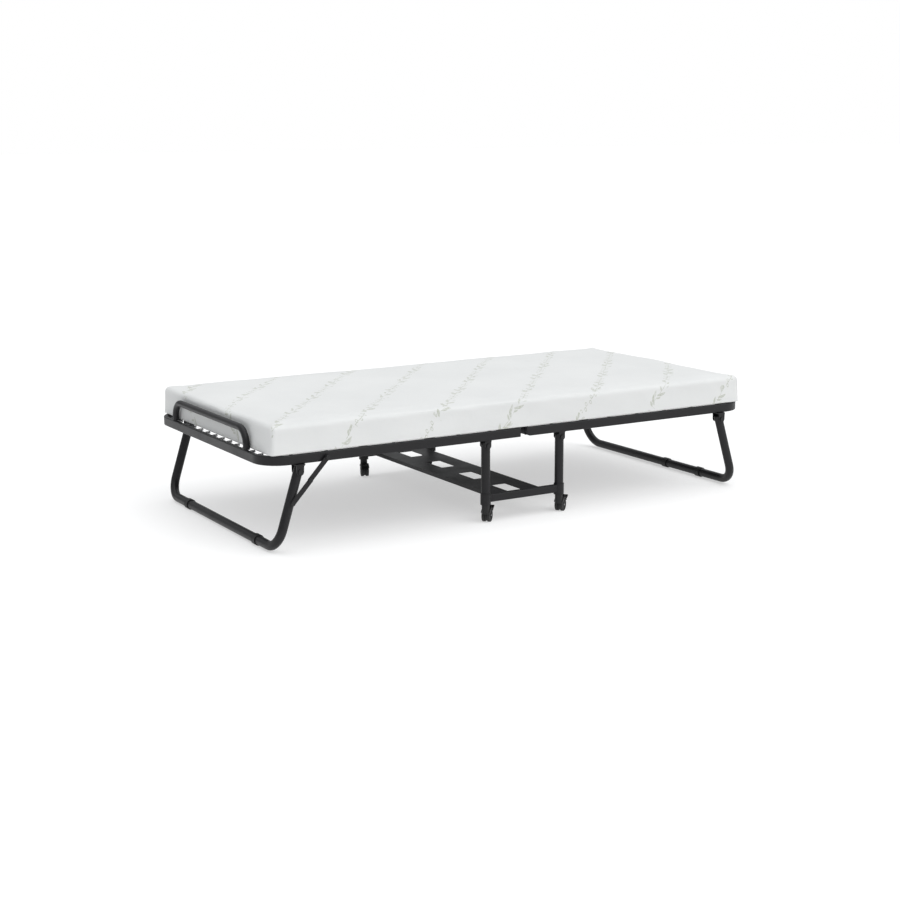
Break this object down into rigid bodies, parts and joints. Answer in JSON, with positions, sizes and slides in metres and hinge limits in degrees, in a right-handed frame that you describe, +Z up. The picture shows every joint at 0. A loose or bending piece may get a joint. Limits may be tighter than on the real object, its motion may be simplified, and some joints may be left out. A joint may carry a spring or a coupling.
{
  "type": "folding cot",
  "caption": "Low folding bed: two rail-framed halves with a foam mattress hinge on a wheeled centre frame; braced U legs fold under each end.",
  "frame": {"origin": "on the floor, under the middle of the bed", "axes": "+X along the length towards the foot end (the head end with the retaining bar is at -X), +Y across the bed, +Z up"},
  "size_m": [1.9, 0.93, 0.404],
  "materials": {
    "frame_paint": "satin",
    "fastener_black": "satin",
    "caster_plastic": "matte",
    "caster_tread": "matte",
    "floor_sleeve_plastic": "matte",
    "axle_steel": "satin",
    "spring_steel": "satin",
    "deck_cloth": "matte",
    "mattress_cover": "matte"
  },
  "bodies": {
    "center_frame": {"near_head_post": "frame_paint", "near_foot_post": "frame_paint", "far_head_post": "frame_paint", "far_foot_post": "frame_paint", "near_lower_tube": "frame_paint", "far_lower_tube": "frame_paint", "lower_cross_panel": "frame_paint", "caster_ferrules": "frame_paint", "middle_mattress": "mattress_cover"},
    "head_half": {"head_rail_tube": "frame_paint", "head_cross_tube": "frame_paint", "head_fold_clevises": "frame_paint", "head_fold_bolts": "fastener_black", "head_leg_brackets": "frame_paint", "head_leg_bolts": "fastener_black", "head_deck_cloth": "deck_cloth", "head_deck_springs": "spring_steel", "head_mattress": "mattress_cover", "head_stay_rail_stud": "fastener_black", "mattress_retaining_bar": "frame_paint"},
    "head_leg": {"head_leg_tube": "frame_paint", "head_floor_sleeves": "floor_sleeve_plastic", "head_stay_leg_stud": "fastener_black"},
    "head_stay_upper": {"head_stay_upper_link": "frame_paint"},
    "head_stay_lower": {"head_stay_lower_link": "frame_paint", "head_stay_knee_rivet": "fastener_black"},
    "foot_half": {"foot_rail_tube": "frame_paint", "foot_cross_tube": "frame_paint", "foot_fold_clevises": "frame_paint", "foot_fold_bolts": "fastener_black", "foot_leg_brackets": "frame_paint", "foot_leg_bolts": "fastener_black", "foot_deck_cloth": "deck_cloth", "foot_deck_springs": "spring_steel", "foot_mattress": "mattress_cover", "foot_stay_rail_stud": "fastener_black"},
    "foot_leg": {"foot_leg_tube": "frame_paint", "foot_floor_sleeves": "floor_sleeve_plastic", "foot_stay_leg_stud": "fastener_black"},
    "foot_stay_upper": {"foot_stay_upper_link": "frame_paint"},
    "foot_stay_lower": {"foot_stay_lower_link": "frame_paint", "foot_stay_knee_rivet": "fastener_black"},
    "near_head_caster": {"near_head_caster_body": "caster_plastic", "near_head_caster_axle": "axle_steel"},
    "near_head_wheels": {"near_head_caster_wheels": "caster_tread"},
    "near_head_brake": {"near_head_brake_pedal": "caster_plastic"},
    "near_foot_caster": {"near_foot_caster_body": "caster_plastic", "near_foot_caster_axle": "axle_steel"},
    "near_foot_wheels": {"near_foot_caster_wheels": "caster_tread"},
    "near_foot_brake": {"near_foot_brake_pedal": "caster_plastic"},
    "far_head_caster": {"far_head_caster_body": "caster_plastic", "far_head_caster_axle": "axle_steel"},
    "far_head_wheels": {"far_head_caster_wheels": "caster_tread"},
    "far_foot_caster": {"far_foot_caster_body": "caster_plastic", "far_foot_caster_axle": "axle_steel"},
    "far_foot_wheels": {"far_foot_caster_wheels": "caster_tread"}
  },
  "joints": [
    {"name": "head_fold", "type": "hinge", "parent": "center_frame", "child": "head_half", "pos_m": [-0.147, 0, 0.2625], "axis": [0, 1, 0], "range_deg": [0, 90], "deforming": ["middle_mattress"]},
    {"name": "head_leg_fold", "type": "hinge", "parent": "head_half", "child": "head_leg", "pos_m": [-0.834, 0, 0.257], "axis": [0, -1, 0], "range_deg": [0, 105]},
    {"name": "head_stay_upper_fold", "type": "hinge", "parent": "head_half", "child": "head_stay_upper", "pos_m": [-0.74, 0, 0.293], "axis": [0, -1, 0], "range_deg": [0, 129.5]},
    {"name": "head_stay_lower_fold", "type": "hinge", "parent": "head_leg", "child": "head_stay_lower", "pos_m": [-0.863, 0, 0.161], "axis": [0, -1, 0], "range_deg": [-130.5, 0]},
    {"name": "foot_fold", "type": "hinge", "parent": "center_frame", "child": "foot_half", "pos_m": [0.147, 0, 0.2625], "axis": [0, -1, 0], "range_deg": [0, 90], "deforming": ["middle_mattress"]},
    {"name": "foot_leg_fold", "type": "hinge", "parent": "foot_half", "child": "foot_leg", "pos_m": [0.834, 0, 0.257], "axis": [0, 1, 0], "range_deg": [0, 105]},
    {"name": "foot_stay_upper_fold", "type": "hinge", "parent": "foot_half", "child": "foot_stay_upper", "pos_m": [0.74, 0, 0.293], "axis": [0, 1, 0], "range_deg": [0, 129.5]},
    {"name": "foot_stay_lower_fold", "type": "hinge", "parent": "foot_leg", "child": "foot_stay_lower", "pos_m": [0.863, 0, 0.161], "axis": [0, 1, 0], "range_deg": [-130.5, 0]},
    {"name": "near_head_swivel", "type": "hinge", "parent": "center_frame", "child": "near_head_caster", "pos_m": [-0.147, -0.43, 0.06], "axis": [0, 0, 1], "continuous": true},
    {"name": "near_head_roll", "type": "hinge", "parent": "near_head_caster", "child": "near_head_wheels", "pos_m": [-0.13362, -0.41796, 0.022], "axis": [-0.6691, 0.7431, 0], "continuous": true},
    {"name": "near_head_brake_press", "type": "hinge", "parent": "near_head_caster", "child": "near_head_brake", "pos_m": [-0.12181, -0.40732, 0.04744], "axis": [-0.6691, 0.7431, 0], "range_deg": [0, 7]},
    {"name": "near_foot_swivel", "type": "hinge", "parent": "center_frame", "child": "near_foot_caster", "pos_m": [0.147, -0.43, 0.06], "axis": [0, 0, 1], "continuous": true},
    {"name": "near_foot_roll", "type": "hinge", "parent": "near_foot_caster", "child": "near_foot_wheels", "pos_m": [0.16156, -0.41942, 0.022], "axis": [-0.5878, 0.809, 0], "continuous": true},
    {"name": "near_foot_brake_press", "type": "hinge", "parent": "near_foot_caster", "child": "near_foot_brake", "pos_m": [0.17442, -0.41008, 0.04744], "axis": [-0.5878, 0.809, 0], "range_deg": [0, 7]},
    {"name": "far_head_swivel", "type": "hinge", "parent": "center_frame", "child": "far_head_caster", "pos_m": [-0.147, 0.43, 0.06], "axis": [0, 0, 1], "continuous": true},
    {"name": "far_head_roll", "type": "hinge", "parent": "far_head_caster", "child": "far_head_wheels", "pos_m": [-0.15316, 0.41309, 0.022], "axis": [0.9397, -0.342, 0], "continuous": true},
    {"name": "far_foot_swivel", "type": "hinge", "parent": "center_frame", "child": "far_foot_caster", "pos_m": [0.147, 0.43, 0.06], "axis": [0, 0, 1], "continuous": true},
    {"name": "far_foot_roll", "type": "hinge", "parent": "far_foot_caster", "child": "far_foot_wheels", "pos_m": [0.13141, 0.439, 0.022], "axis": [-0.5, -0.866, 0], "continuous": true}
  ],
  "couplings": [
    {"joint": "head_stay_upper_fold", "follows": "head_leg_fold", "ratio": 1.2317},
    {"joint": "head_stay_lower_fold", "follows": "head_leg_fold", "ratio": -1.2408},
    {"joint": "foot_stay_upper_fold", "follows": "foot_leg_fold", "ratio": 1.2317},
    {"joint": "foot_stay_lower_fold", "follows": "foot_leg_fold", "ratio": -1.2408}
  ]
}
